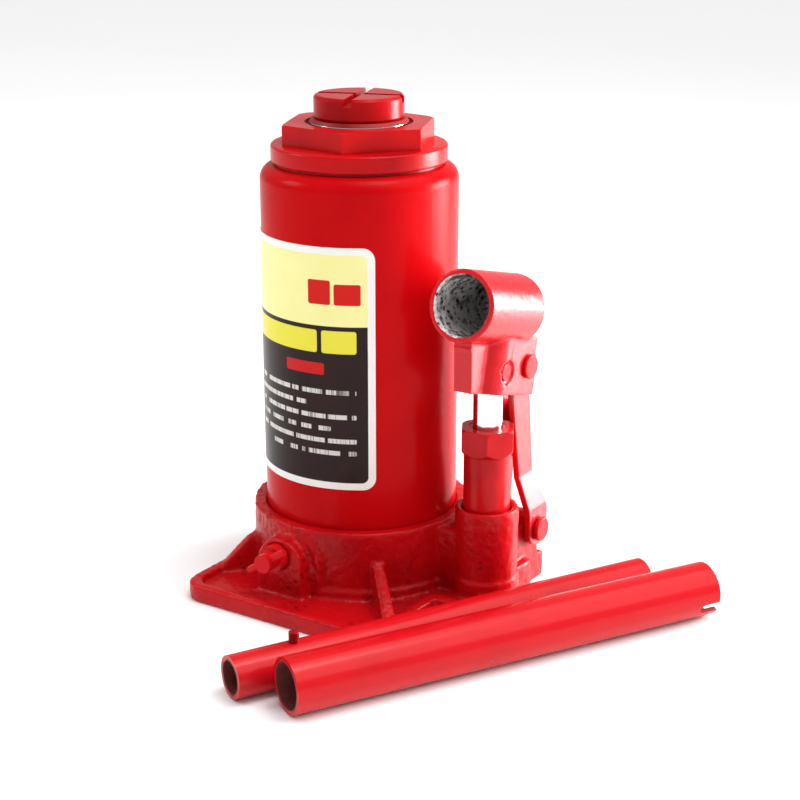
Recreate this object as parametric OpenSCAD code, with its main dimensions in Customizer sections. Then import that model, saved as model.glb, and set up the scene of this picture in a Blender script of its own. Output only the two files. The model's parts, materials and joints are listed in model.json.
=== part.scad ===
// Ten-tonne hydraulic bottle jack with a two-piece pumping handle.
// Millimetres. +Z is up, z = 0 is the floor under the base, and the origin is
// on the axis of the ram. -Y is the side the handle and release valve face,
// and +X is the side that carries the pump.

/* [Overall] */
// Outside diameter of the oil reservoir tube
reservoir_d = 80; // [74:1:96]
// Height of the saddle above the floor with the ram and screw right down
closed_height = 203; // [188:1:240]
// Height the ram lifts
ram_stroke = 125; // [60:1:125]
// Height the extension screw winds out of the ram
screw_stroke = 60; // [30:1:66]

/* [Base casting] */
// Height of the rim that runs round the edge of the foot plate
rim_top = 7.3; // [6:0.1:10]
// Thickness of the plate inside the rim
plate_t = 4.5; // [3.5:0.1:5.5]
// Width of the rim
rim_w = 4.5; // [3:0.1:8]
// Corner radius of the foot plate
plate_corner_r = 9; // [5:0.5:12]
// How far the plate reaches in front of the ram axis
plate_front = 67.6; // [66:0.1:75]
// How far the plate reaches behind the ram axis
plate_back = 46; // [46:0.5:60]
// Width of the tongue of the plate that carries the pump
tongue_w = 48; // [40:1:56]
// Height of the collar round the foot of the reservoir
collar_top = 33.4; // [31:0.1:36]
// Wall of the collar outside the reservoir tube
collar_wall = 5.3; // [4:0.1:8]
// Height of the solid floor inside the collar
tank_floor = 27.5; // [27:0.5:28]
// Thickness of the corner gussets
gusset_t = 5; // [3:0.5:8]
// Height of the corner gussets where they meet the collar
gusset_h = 21; // [14:0.5:26]

/* [Reservoir and cylinder] */
// Wall of the reservoir tube
tank_wall = 2; // [1.5:0.1:3]
// Radius of the rolled shoulder at the top of the reservoir
shoulder_r = 6; // [4:0.5:7]
// Bore of the lifting cylinder
cylinder_bore_d = 45; // [44.6:0.1:47]
// Outside diameter of the lifting cylinder
cylinder_od = 53; // [51:0.5:54]
// Thickness of the flat seals under the cylinder and tank
flat_seal_t = 1.2; // [0.8:0.1:1.6]

/* [Tank nut] */
// Thickness of the round flange
flange_t = 6.7; // [5:0.1:9]
// How far the flange edge sits inside the tank wall
flange_inset = 4.5; // [3:0.5:5.5]
// Across-flats size of the hexagon
nut_af = 55.4; // [50:0.2:60]
// Height of the hexagon
nut_hex_h = 8.6; // [7:0.1:12]
// Angle of the hexagon about the ram axis
nut_turn = -7; // [-30:1:30]

/* [Ram and extension screw] */
// Diameter of the ram
ram_d = 40; // [39:0.5:41]
// Height of the ram end above the hexagon with the ram down
ram_proud = 1.5; // [0.8:0.1:3]
// Running clearance of the ram in its gland
ram_clear = 0.06; // [0.03:0.01:0.1]
// Diameter of the extension screw
screw_d = 26; // [24:0.5:27]
// Running clearance of the screw in the ram
screw_clear = 0.08; // [0.04:0.01:0.1]
// Diameter of the saddle head
saddle_d = 36.2; // [33:0.2:38]
// Height of the saddle head
saddle_h = 9.3; // [7.5:0.1:12]
// Width of the two crossed slots in the saddle
slot_w = 3.4; // [2:0.1:5]
// Depth of the crossed slots
slot_depth = 3; // [1.5:0.1:4]

/* [Pump] */
// Gap from the reservoir wall to the pump axis
pump_gap = 21.5; // [20:0.5:24]
// Height of the pump boss on the base
pump_boss_top = 42; // [40:0.5:44]
// Diameter of the pump boss
pump_boss_d = 25.6; // [25:0.2:28]
// Diameter of the round part of the pump barrel
barrel_d = 19; // [18:0.2:21]
// Across-flats size of the barrel's hexagon
barrel_af = 20.6; // [19.6:0.2:22]
// Height of the top of the barrel
barrel_top = 75.5; // [73:0.5:76]
// Height of the barrel's hexagon
barrel_hex_h = 11; // [8:0.5:14]
// Diameter of the pump plunger
plunger_d = 12; // [10:0.2:12]
// Running clearance of the plunger
plunger_clear = 0.05; // [0.03:0.01:0.1]
// Distance the plunger moves each way from where it stands
plunger_travel = 6.5; // [3:0.5:6.5]

/* [Handle socket and link] */
// Height of the plunger pin above the floor
pin1_z = 99.3; // [98:0.1:102]
// Angle the socket mouth points up
socket_tilt = 14; // [8:1:16]
// Outside diameter of the socket tube
socket_od = 28.6; // [27.8:0.2:30]
// Bore of the socket
socket_bore_d = 23.4; // [22:0.2:24]
// Length of the socket tube
socket_len = 45.4; // [42:0.2:52]
// Width over the cheeks of the socket
cheek_w = 17.6; // [17.2:0.1:18.4]
// Width of the slot between the cheeks
fork_slot_w = 12.4; // [12.3:0.1:12.6]
// Diameter of the three pivot pins
pin_d = 7; // [6:0.1:7.4]
// Fit clearance round the pins that turn
pin_clear = 0.08; // [0.04:0.01:0.1]
// Distance from the plunger pin to the top link pin, along the socket
pin2_y = 16.4; // [16:0.1:17]
// Extra room round the top link pin in the eyes of the link
loose_pin_room = 1.35; // [1.35:0.05:1.6]
// How far the bottom link pin stands behind the plunger
pin3_y = 26; // [25:0.5:28]
// Height of the bottom link pin
pin3_z = 25; // [22:0.5:27]
// Thickness of the link plates
link_t = 2.8; // [2.4:0.1:3]
// How far each link plate is set outward at its foot
link_joggle = 3.9; // [3.6:0.1:4.5]
// Width of the lug the link straddles
lug_w = 13.2; // [12:0.2:13.4]

/* [Release valve] */
// Distance of the valve axis to the left of the ram axis
valve_x = 6.5; // [5:0.5:9]
// Height of the valve axis
valve_z = 21.5; // [20:0.5:21.5]
// Diameter of the valve screw
valve_d = 11; // [10:0.5:11]
// Diameter of the stem that carries the cross pin
stem_d = 7.6; // [6.5:0.1:9]
// Length of the cross pin
cross_pin_len = 21.4; // [18.2:0.2:21.8]
// Diameter of the cross pin
cross_pin_d = 3.6; // [3:0.1:4]
// Angle of the cross pin from level
cross_pin_turn = 34; // [0:1:90]
// Distance the valve screw backs out when opened
valve_stroke = 2.5; // [1.5:0.1:3]

/* [Handle tubes] */
// Outside diameter of the large handle tube
big_tube_d = 21.6; // [20.8:0.1:21.8]
// Outside diameter of the small handle tube
small_tube_d = 16.6; // [15:0.1:16.8]
// Wall of both handle tubes
tube_wall = 2; // [1.5:0.1:2.1]
// Length of each handle tube
tube_len = 185; // [150:1:260]
// Gap between the corner of the foot and the small tube beside it
foot_gap = 0.755; // [0.6:0.001:6]
// Gap between the two tubes at their near ends
between_tubes = 1.557; // [1:0.001:6]
// Width of the notch in the end of the large tube
notch_w = 4.4; // [4.2:0.1:6]
// Depth of the notch
notch_depth = 9; // [7:0.5:12]
// Diameter of the locating stud on the small tube
stud_d = 4; // [3:0.1:4.1]
// Distance of the stud from the end of the small tube
stud_from_end = 26; // [16:1:40]

/* [Label] */
// Height of the label
label_h = 99; // [70:1:100]
// Height of the label's lower edge above the floor
label_z = 50.5; // [46:0.5:56]
// Angle the label wraps round the tank
label_span = 150; // [100:1:170]
// Direction the label's right edge faces
label_edge = -47; // [-60:1:-40]

/* [Hidden] */
$fn = 96;
e = 0.01;
tank_r = reservoir_d / 2;
collar_r = tank_r + collar_wall;
pump_x = tank_r + pump_gap;
plate_left = tank_r + 4.4;
plate_right = tank_r + 12;
tongue_right = pump_x + 9.8;
ram_top = closed_height - saddle_h;
hex_top = ram_top - ram_proud;
hex_z = hex_top - nut_hex_h;
flange_z = hex_z - flange_t;
flange_r = tank_r - flange_inset;
bore_r = cylinder_bore_d / 2;
cyl_r = cylinder_od / 2;
ram_r = ram_d / 2;
cyl_seat = 19;
cyl_bot = cyl_seat + flat_seal_t;
cyl_top = flange_z - 5;
piston_z = cyl_bot + 1;
ram_base = piston_z + 12;
gland_z = flange_z - 8;
nut_skirt_r = cyl_r + 4.5;
screw_r = screw_d / 2;
screw_len = 86;
saddle_r = saddle_d / 2;
plunger_r = plunger_d / 2;
barrel_r = barrel_d / 2;
barrel_seat = 33;
pin_r = pin_d / 2;
cheek_h = cheek_w / 2;
slot_h = fork_slot_w / 2;
link_out = slot_h - 0.2;
link_foot = link_out + link_joggle;
axis_up = 24.5;
socket_back = 17.1;
pin2_up = 2.5;
p2y = pin2_y * cos(socket_tilt) + pin2_up * sin(socket_tilt);
p2z = pin1_z - pin2_y * sin(socket_tilt) + pin2_up * cos(socket_tilt);
boss_front = tank_r + 11.5;
valve_mouth = boss_front + 4;
stem_end = boss_front + 10;
cross_y = stem_end - 3.4;
big_r = big_tube_d / 2;
small_r = small_tube_d / 2;
big_turn = 61.2;
small_turn = 62.6;
// the tubes lie along the foot, so their places follow its corners and each other
off = [sin(small_turn), -cos(small_turn)];
along = [cos(small_turn), sin(small_turn)];
plate_reach = (plate_right - plate_corner_r) * off[0] - (plate_front - plate_corner_r) * off[1]
  + plate_corner_r;
tongue_reach = (tongue_right - 5) * off[0] - (tongue_w / 2 - 5) * off[1] + 5;
foot_reach = max(plate_reach, tongue_reach);
small_at = off * (foot_reach + foot_gap + small_r) + along * -98.795;
big_at = small_at + off * (small_r + big_r + between_tubes) + along * 12.735;
plug_turn = 118;
plug_z = flange_z - 34;

// ---- shared shapes ----
module ring(z0, z1, r_in, r_out) {
  translate([0, 0, z0]) difference() {
    cylinder(h = z1 - z0, r = r_out);
    translate([0, 0, -1]) cylinder(h = z1 - z0 + 2, r = r_in);
  }
}

module rounded_block(x0, x1, y0, y1, z0, z1, r) {
  translate([x0 + r, y0, z0]) cube([x1 - x0 - 2 * r, y1 - y0, z1 - z0]);
  translate([x0, y0 + r, z0]) cube([x1 - x0, y1 - y0 - 2 * r, z1 - z0]);
  for (x = [x0 + r, x1 - r])
    for (y = [y0 + r, y1 - r])
      translate([x, y, z0]) cylinder(h = z1 - z0, r = r);
}

module along_x(x0, x1, y, z, r) {
  translate([x0, y, z]) rotate([0, 90, 0]) cylinder(h = x1 - x0, r = r);
}

module along_front(y0, y1, x, z, r) {
  translate([x, -y0, z]) rotate([90, 0, 0]) cylinder(h = y1 - y0, r = r);
}

module at_pump() {
  translate([pump_x, 0, 0]) children();
}

module at_socket() {
  translate([pump_x, 0, pin1_z]) rotate([-socket_tilt, 0, 0]) children();
}

// ---- base ----
module plate_shape(z0, z1, inset) {
  r = plate_corner_r - inset * 0.6;
  rounded_block(-plate_left + inset, plate_right - inset, -plate_front + inset,
    plate_back - inset, z0, z1, r);
  rounded_block(0, tongue_right - inset, -tongue_w / 2 + inset,
    tongue_w / 2 - inset, z0, z1, 5);
}

module gusset(turn, reach) {
  rotate([0, 0, turn]) translate([0, gusset_t / 2, 0]) rotate([90, 0, 0])
    linear_extrude(gusset_t)
      polygon([[tank_r, 0], [reach, 0], [reach, rim_top - 1.2],
        [collar_r + 4, gusset_h - 2], [collar_r, gusset_h], [tank_r, gusset_h]]);
}

module valve_boss(xc, half, front, arch_z) {
  translate([xc - half, -front, 0]) cube([2 * half, front - tank_r + 12, arch_z]);
  along_front(tank_r - 12, front, xc, arch_z, half);
}

module base_casting() color("firebrick") difference() {
  union() {
    difference() {
      plate_shape(0, rim_top, 0);
      plate_shape(plate_t, rim_top + 1, rim_w);
    }
    cylinder(h = collar_top, r = collar_r);
    cylinder(h = plate_t + 4, r = collar_r + 1.2);
    gusset(-47, tank_r + 36);
    gusset(133, tank_r + 20);
    gusset(-133, tank_r + 22);
    valve_boss(-5.5, 11, boss_front, 18);
    valve_boss(-1.5, 12.5, boss_front - 5.5, 18);
    at_pump() cylinder(h = pump_boss_top, r = pump_boss_d / 2);
    at_pump() cylinder(h = 12, r = pump_boss_d / 2 + 1);
    translate([tank_r - 2, -10, 0]) cube([pump_gap + 2, 20, collar_top - 1.5]);
    translate([pump_x - lug_w / 2, 5, 0])
      cube([lug_w, pin3_y + 6 - 5, pin3_z + 2]);
    along_x(pump_x - lug_w / 2, pump_x + lug_w / 2, pin3_y, pin3_z, 7);
    translate([pump_x - 11, 4, 0]) cube([20.8, 17, 13]);
    translate([pump_x - lug_w / 2, pin3_y + 5.9, 0]) cube([lug_w, 5, 11]);
  }
  translate([0, 0, tank_floor]) cylinder(h = 40, r = tank_r + 0.05);
  translate([0, 0, cyl_seat]) cylinder(h = 40, r = cyl_r + 0.05);
  // pump well and its seats
  at_pump() translate([0, 0, barrel_seat - 1]) cylinder(h = 30, r = barrel_r + 0.05);
  at_pump() translate([0, 0, pump_boss_top - 1.6]) cylinder(h = 5, r = barrel_r + 1.2);
  at_pump() translate([0, 0, 12]) cylinder(h = 30, r = 3.2);
  at_pump() translate([0, 0, 3]) cylinder(h = 12, r = 1.5);
  // drilling from the pump to the lifting cylinder
  along_x(24, pump_x, 0, 16, 2);
  along_x(30, 47, 0, 16, 3.4);
  along_x(-4, 26, 0, 12, 2);
  translate([0, 0, 11]) cylinder(h = 12, r = 2.5);
  translate([25, 0, 10.5]) cylinder(h = 7, r = 2);
  // plug hole of the outlet valve, drilled up from the underside
  translate([44, 0, -1]) cylinder(h = 14.6, r = 4.05);
  translate([44, 0, 11]) cylinder(h = 6, r = 3);
  // oil feed from the tank, screened at its mouth
  translate([32, 14, 3]) cylinder(h = 30, r = 1.8);
  translate([32, 14, tank_floor - 1.5]) cylinder(h = 3, r = 5.05);
  translate([32, 14, 4]) rotate([0, 90, -25.4]) cylinder(h = 32.6, r = 1.4);
  // overload relief, from the underside
  translate([-16, 14, -1]) cylinder(h = 13, r = 4.05);
  translate([-16, 14, 10]) cylinder(h = 5, r = 1.5);
  translate([-16, 14, 13]) rotate([0, 90, -41.2]) cylinder(h = 21, r = 1.4);
  // release valve bore and seat
  along_front(35.5, boss_front + 9, -valve_x, valve_z, valve_d / 2 + 0.06);
  along_front(27.8, 37, -valve_x, valve_z, 3.1);
  along_front(-1, 29, -valve_x, valve_z - 4.2, 1.4);
  along_x(-valve_x - 1, 0, 0, valve_z - 4.2, 1.4);
  // pin hole through the lug
  along_x(pump_x - 20, pump_x + 20, pin3_y, pin3_z, pin_r + 0.03);
}

// ---- reservoir and lifting cylinder ----
module tank_solid(r, z0, z1, rs) {
  translate([0, 0, z0]) cylinder(h = z1 - rs - z0, r = r);
  translate([0, 0, z0]) cylinder(h = z1 - z0, r = r - rs);
  translate([0, 0, z1 - rs]) rotate_extrude() translate([r - rs, 0]) circle(r = rs);
}

module reservoir_tube() color("crimson") difference() {
  tank_solid(tank_r, tank_floor + flat_seal_t, flange_z - 1, shoulder_r);
  tank_solid(tank_r - tank_wall, tank_floor - 5, flange_z - 1 - tank_wall,
    shoulder_r - tank_wall / 2);
  cylinder(h = 300, r = nut_skirt_r + 0.4);
  rotate([0, 0, plug_turn]) along_x(20, tank_r + 5, 0, plug_z, 5);
}

module tank_lower_seal() color("dimgray")
  ring(tank_floor, tank_floor + flat_seal_t, tank_r - 4, tank_r);

module tank_upper_seal() color("dimgray")
  ring(flange_z - 1, flange_z, nut_skirt_r + 0.4, flange_r - 1.5);

module tank_nut() color("crimson") difference() {
  union() {
    translate([0, 0, flange_z]) cylinder(h = flange_t, r = flange_r);
    rotate([0, 0, nut_turn]) translate([0, 0, hex_z - 1])
      cylinder(h = nut_hex_h + 1, r = nut_af / sqrt(3), $fn = 6);
    translate([0, 0, flange_z - 16]) cylinder(h = 17, r = nut_skirt_r);
  }
  translate([0, 0, flange_z - 17]) cylinder(h = cyl_top + 0.1 - flange_z + 17, r = cyl_r + 0.05);
  translate([0, 0, flange_z - 17]) cylinder(h = 60, r = ram_r + ram_clear);
  translate([0, 0, flange_z + 1]) cylinder(h = 5, r = ram_r + 3.5);
  translate([0, 0, hex_top - 3]) cylinder(h = 5, r = ram_r + 1.7);
}

module gland_seal() color("dimgray")
  ring(flange_z + 1.05, flange_z + 5.95, ram_r + 0.04, ram_r + 3.45);

module wiper_ring() color("dimgray")
  ring(hex_top - 2.95, hex_top - 1.2, ram_r + 0.04, ram_r + 1.65);

module ram_cylinder() color("silver")
  ring(cyl_bot, cyl_top, bore_r, cyl_r);

module cylinder_gasket() color("peru")
  ring(cyl_seat, cyl_bot, bore_r - 3, cyl_r);

module label() color("gold") intersection() {
  ring(label_z, label_z + label_h, tank_r + 0.02, tank_r + 0.32);
  rotate([0, 0, label_edge - label_span / 2]) linear_extrude(400)
    polygon([[0, 0], [120 * cos(label_span / 2), 120 * sin(label_span / 2)],
      [120, 120], [120, -120],
      [120 * cos(label_span / 2), -120 * sin(label_span / 2)]]);
}

module oil_filler_plug() color("black") rotate([0, 0, plug_turn]) {
  along_x(tank_r - tank_wall - 3, tank_r + 0.5, 0, plug_z, 4.9);
  along_x(tank_r + 0.4, tank_r + 3, 0, plug_z, 7.5);
}

// ---- ram and extension screw ----
module ram() color("silver") difference() {
  union() {
    translate([0, 0, ram_base]) cylinder(h = ram_top - ram_base, r = ram_r);
    translate([0, 0, piston_z]) cylinder(h = 13, r = 12);
  }
  translate([0, 0, ram_top - screw_len - 6]) cylinder(h = 200, r = screw_r + screw_clear);
  translate([0, 0, piston_z + 1.4]) ring(0, 1.2, 11, 13);
}

module piston_ring() color("goldenrod")
  ring(ram_base - 5, ram_base - 0.05, 12.05, bore_r - 0.06);

module piston_seal() color("darkolivegreen")
  ring(piston_z + 2.65, ram_base - 5.05, 12.02, bore_r - 0.04);

module piston_circlip() color("gray")
  ring(piston_z + 1.45, piston_z + 2.55, 11.05, 15);

module screw_stop_ring() color("gray")
  ring(ram_top - screw_len + 3.1, ram_top - screw_len + 4.9, screw_r - 2, screw_r + 0.02);

module extension_screw() color("crimson") difference() {
  union() {
    translate([0, 0, ram_top + 0.05]) cylinder(h = saddle_h - 0.05, r = saddle_r);
    translate([0, 0, ram_top - screw_len]) cylinder(h = screw_len + 1, r = screw_r);
  }
  for (a = [20, 110])
    rotate([0, 0, a]) translate([-saddle_r - 1, -slot_w / 2, closed_height - slot_depth])
      cube([2 * saddle_r + 2, slot_w, 10]);
  translate([0, 0, ram_top - screw_len]) ring(3, 5, screw_r - 2.06, screw_r + 2);
}

// ---- pump ----
module pump_barrel() color("crimson") at_pump() difference() {
  union() {
    translate([0, 0, barrel_seat]) cylinder(h = barrel_top - barrel_seat - 2, r = barrel_r);
    translate([0, 0, barrel_top - barrel_hex_h])
      cylinder(h = barrel_hex_h, r = barrel_af / sqrt(3), $fn = 6);
  }
  translate([0, 0, barrel_seat + 4]) cylinder(h = 60, r = plunger_r + plunger_clear);
  translate([0, 0, barrel_seat - 1]) cylinder(h = 8, r = 3.2);
  translate([0, 0, barrel_top - 9]) cylinder(h = 3.6, r = plunger_r + 2);
  translate([0, 0, barrel_top - 3]) cylinder(h = 5, r = plunger_r + 1.6);
}

module barrel_gasket() color("peru") at_pump()
  ring(barrel_seat - 1, barrel_seat - 0.02, 3.6, barrel_r);

module pump_seal() color("dimgray") at_pump()
  ring(barrel_top - 8.95, barrel_top - 5.45, plunger_r + 0.04, plunger_r + 1.95);

module plunger_wiper() color("dimgray") at_pump()
  ring(barrel_top - 2.95, barrel_top - 0.6, plunger_r + 0.04, plunger_r + 1.55);

module inlet_ball() color("silver") at_pump()
  translate([0, 0, 14.6]) sphere(r = 2.6);

module outlet_ball() color("silver") translate([33.4, 0, 16]) sphere(r = 3);

module outlet_spring() color("gray")
  along_x_ring(36.6, 41, 0, 16, 2.1, 2.9);

module along_x_ring(x0, x1, y, z, r_in, r_out) {
  difference() {
    along_x(x0, x1, y, z, r_out);
    along_x(x0 - 1, x1 + 1, y, z, r_in);
  }
}

module outlet_plug() color("gray") {
  translate([44, 0, 0.6]) cylinder(h = 10.4, r = 4);
  translate([44, 0, 10.9]) cylinder(h = 7.6, r = 2.4);
}

module relief_ball() color("silver") translate([-16, 14, 10.2]) sphere(r = 2.2);

module relief_spring() color("gray")
  translate([-16, 14, 0]) ring(5, 7.9, 1.6, 2.6);

module relief_screw() color("gray") translate([-16, 14, 0]) difference() {
  translate([0, 0, 0.6]) cylinder(h = 4.3, r = 4);
  translate([-5, -0.6, 0]) cube([10, 1.2, 1.8]);
}

module intake_filter() color("khaki") translate([32, 14, 0])
  ring(tank_floor - 1.45, tank_floor - 0.4, 1.9, 5);

// ---- link ----
module lug_pin() color("crimson") at_pump() {
  along_x(-link_foot - 2.6, link_foot + 0.3, pin3_y, pin3_z, pin_r);
  along_x(link_foot + 0.25, link_foot + 2.4, pin3_y, pin3_z, 5.1);
}

module lug_pin_clip() color("gray") at_pump()
  along_x_ring(-link_foot - 1.6, -link_foot - 0.5, pin3_y, pin3_z, pin_r + 0.02, pin_r + 2);

// One plate of the link, drawn on the +X side: a straight upper part, a
// sloping set and a foot that stands further out
module link_plate() {
  z1 = 50;
  z2 = 35;
  yf = [p2y - 6.6, p2y - 1.4, pin3_y - 7.4];
  yb = [p2y + 6.8, p2y + 10.6, pin3_y + 7.6];
  intersection() {
    // outline seen from the side
    rotate([90, 0, 90]) linear_extrude(30) union() {
      polygon([[p2y - 6.8, p2z], [yf[0], p2z - 14], [yf[1] + 0.6, z1], [yf[2], z2 - 4],
        [pin3_y - 7.2, pin3_z], [pin3_y + 7.2, pin3_z], [yb[2], z2 - 3], [yb[1], z1],
        [yb[0], p2z - 14], [p2y + 6.8, p2z]]);
      translate([p2y, p2z]) circle(r = 6.8);
      translate([pin3_y, pin3_z]) circle(r = 7.2);
    }
    // section seen from the front
    translate([0, 60, 0]) rotate([90, 0, 0]) linear_extrude(80)
      polygon([[link_out - link_t, 140], [link_out, 140], [link_out, z1], [link_foot, z2],
        [link_foot, 0], [link_foot - link_t, 0], [link_foot - link_t, z2 - 0.6],
        [link_out - link_t, z1 - 0.6]]);
  }
}

module link_yoke() color("salmon") at_pump() difference() {
  union() {
    link_plate();
    mirror([1, 0, 0]) link_plate();
    // web that joins the two plates along their back edge
    translate([-link_out + 1, p2y + 5.5, 56]) rotate([-3.2, 0, 0])
      cube([2 * link_out - 2, 2.6, 24]);
  }
  along_x(-20, 20, p2y, p2z, pin_r + loose_pin_room);
  along_x(-20, 20, pin3_y, pin3_z, pin_r + pin_clear);
}

// ---- plunger and socket ----
module plunger() color("silver") at_pump() difference() {
  union() {
    translate([0, 0, 46]) cylinder(h = pin1_z - 46, r = plunger_r);
    intersection() {
      translate([0, 0, 46]) cylinder(h = pin1_z - 30, r = plunger_r);
      along_x(-plunger_r - 1, plunger_r + 1, 0, pin1_z, plunger_r);
    }
  }
  along_x(-20, 20, 0, pin1_z, pin_r + pin_clear);
}

module socket_tail(r, y1) {
  translate([0, -28.3 + (45.4 - socket_len), axis_up]) rotate([-90, 0, 0])
    cylinder(h = y1 - 4 + 28.3 - (45.4 - socket_len), r = r);
  translate([0, y1 - 4, axis_up]) rotate([-90, 0, 0]) cylinder(h = 4, r1 = r, r2 = r - 3);
}

module handle_socket() color("crimson") at_socket() difference() {
  union() {
    socket_tail(socket_od / 2, socket_back);
    // plunger boss
    translate([0, -1.4, -9.2]) cylinder(h = 30, r = cheek_h + 0.6);
    // cheeks and the web under the mouth
    translate([-cheek_h, 0, -9.2]) cube([cheek_w, pin2_y, 9.2 + 16]);
    translate([-cheek_h, pin2_y - e, -9.2]) cube([cheek_w, 7, 9.2 + pin2_up]);
    along_x(-cheek_h, cheek_h, pin2_y, pin2_up, 7);
    translate([-cheek_h, pin2_y - 7, pin2_up]) cube([cheek_w, 12, 12]);
    translate([-4, -23, -9.2]) cube([8, 20, 28]);
  }
  // front edge of the web stands upright
  rotate([socket_tilt, 0, 0]) translate([-10, -45, -40]) cube([20, 25, 53]);
  // handle bore
  translate([0, -60, axis_up]) rotate([-90, 0, 0])
    cylinder(h = 60 + socket_back - 5, r = socket_bore_d / 2);
  // room for the plunger head and the link between the cheeks
  translate([-slot_h, -plunger_r - 1.8, -20]) cube([fork_slot_w, 60, 30]);
  along_x(-20, 20, 0, 0, pin_r + 0.03);
  along_x(cheek_h - 1.2, 20, 0, 0, 4.9);
  along_x(-20, -cheek_h + 1.2, 0, 0, 4.9);
  along_x(-20, 20, pin2_y, pin2_up, pin_r + 0.03);
}

module plunger_pin() color("crimson") at_socket()
  along_x(-cheek_h + 0.3, cheek_h - 0.5, 0, 0, pin_r);

module link_pin() color("crimson") at_socket() {
  along_x(-cheek_h - 1.6, cheek_h + 0.3, pin2_y, pin2_up, pin_r);
  along_x(cheek_h + 0.02, cheek_h + 1.7, pin2_y, pin2_up, 5);
  along_x(-cheek_h - 1.7, -cheek_h - 0.02, pin2_y, pin2_up, 4.6);
}

// ---- release valve ----
module release_screw() color("crimson") difference() {
  union() {
    along_front(39.8, valve_mouth, -valve_x, valve_z, valve_d / 2);
    translate([-valve_x, -39.9, valve_z]) rotate([-90, 0, 0]) cylinder(h = 5.6, r1 = 5, r2 = 2.2);
    along_front(valve_mouth - 1, stem_end, -valve_x, valve_z, stem_d / 2);
  }
  difference() {
    along_front(42, 45.2, -valve_x, valve_z, valve_d);
    along_front(41, 46, -valve_x, valve_z, valve_d / 2 - 2);
  }
  translate([-valve_x, -cross_y, valve_z]) rotate([0, -cross_pin_turn, 0])
    along_x(-15, 15, 0, 0, cross_pin_d / 2 + 0.01);
}

module release_cross_pin() color("crimson")
  translate([-valve_x, -cross_y, valve_z]) rotate([0, -cross_pin_turn, 0])
    along_x(-cross_pin_len / 2, cross_pin_len / 2, 0, 0, cross_pin_d / 2);

module release_oring() color("dimgray") difference() {
  along_front(42.1, 45.1, -valve_x, valve_z, valve_d / 2 + 0.03);
  along_front(41, 46, -valve_x, valve_z, valve_d / 2 - 1.95);
}

module release_ball() color("silver")
  translate([-valve_x, -31.1, valve_z]) sphere(r = 3);

// ---- handle ----
module tube_at(at, turn, r) {
  translate([at[0], at[1], r]) rotate([0, 90, turn]) cylinder(h = tube_len, r = r);
}

module handle_tube_large() color("crimson")
  translate([big_at[0], big_at[1], big_r]) rotate([0, 0, big_turn]) rotate([0, 90, 0])
    difference() {
      cylinder(h = tube_len, r = big_r);
      translate([0, 0, -1]) cylinder(h = tube_len + 2, r = big_r - tube_wall);
      // notch across both walls, with a round end
      rotate([0, 0, -67]) {
        translate([-20, -notch_w / 2, tube_len - notch_depth + notch_w / 2])
          cube([40, notch_w, 30]);
        translate([-20, 0, tube_len - notch_depth + notch_w / 2]) rotate([0, 90, 0])
          cylinder(h = 40, r = notch_w / 2);
      }
    }

module handle_tube_small() color("crimson")
  translate([small_at[0], small_at[1], small_r]) rotate([0, 0, small_turn]) rotate([0, 90, 0])
    difference() {
      cylinder(h = tube_len, r = small_r);
      translate([0, 0, -1]) cylinder(h = tube_len + 2, r = small_r - tube_wall);
      translate([-20, 0, stud_from_end]) rotate([0, 90, 0]) cylinder(h = 20, r = stud_d / 2 + 0.01);
    }

module handle_stud() color("maroon")
  translate([small_at[0], small_at[1], small_r]) rotate([0, 0, small_turn])
    translate([stud_from_end, 0, small_r - tube_wall - 2]) {
      cylinder(h = tube_wall + 6.2, r = stud_d / 2);
      cylinder(h = 1.1, r = stud_d / 2 + 1);
    }

base_casting();
reservoir_tube();
tank_nut();
ram_cylinder();
cylinder_gasket();
tank_lower_seal();
tank_upper_seal();
gland_seal();
wiper_ring();
label();
oil_filler_plug();
pump_barrel();
barrel_gasket();
pump_seal();
inlet_ball();
outlet_ball();
outlet_spring();
outlet_plug();
relief_ball();
relief_spring();
relief_screw();
release_ball();
intake_filter();
lug_pin();
lug_pin_clip();
ram();
piston_ring();
piston_seal();
piston_circlip();
screw_stop_ring();
extension_screw();
plunger();
plunger_wiper();
handle_socket();
plunger_pin();
link_pin();
link_yoke();
release_screw();
release_cross_pin();
release_oring();
handle_tube_large();
handle_tube_small();
handle_stud();
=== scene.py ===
"""Hydraulic bottle jack with its two loose handle tubes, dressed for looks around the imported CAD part."""
import json
import math

import bpy
from mathutils import Matrix, Vector

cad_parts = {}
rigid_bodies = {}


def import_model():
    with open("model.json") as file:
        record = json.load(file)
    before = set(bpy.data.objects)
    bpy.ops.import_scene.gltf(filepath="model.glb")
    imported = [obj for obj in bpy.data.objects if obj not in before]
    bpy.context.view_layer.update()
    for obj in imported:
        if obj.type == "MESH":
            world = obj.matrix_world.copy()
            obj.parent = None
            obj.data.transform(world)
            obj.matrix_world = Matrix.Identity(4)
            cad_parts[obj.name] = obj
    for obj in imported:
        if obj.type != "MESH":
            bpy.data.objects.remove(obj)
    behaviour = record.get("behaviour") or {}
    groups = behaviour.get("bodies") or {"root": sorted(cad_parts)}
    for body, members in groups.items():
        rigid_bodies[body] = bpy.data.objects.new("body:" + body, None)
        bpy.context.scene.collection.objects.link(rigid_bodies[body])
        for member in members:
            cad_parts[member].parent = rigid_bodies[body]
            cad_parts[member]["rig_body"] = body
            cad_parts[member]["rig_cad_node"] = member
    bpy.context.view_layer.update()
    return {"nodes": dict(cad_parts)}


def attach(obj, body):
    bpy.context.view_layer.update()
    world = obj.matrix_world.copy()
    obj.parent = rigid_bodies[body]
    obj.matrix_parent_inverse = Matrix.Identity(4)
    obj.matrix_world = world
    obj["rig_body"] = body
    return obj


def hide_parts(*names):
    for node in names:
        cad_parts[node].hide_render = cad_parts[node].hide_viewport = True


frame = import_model()

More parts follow.
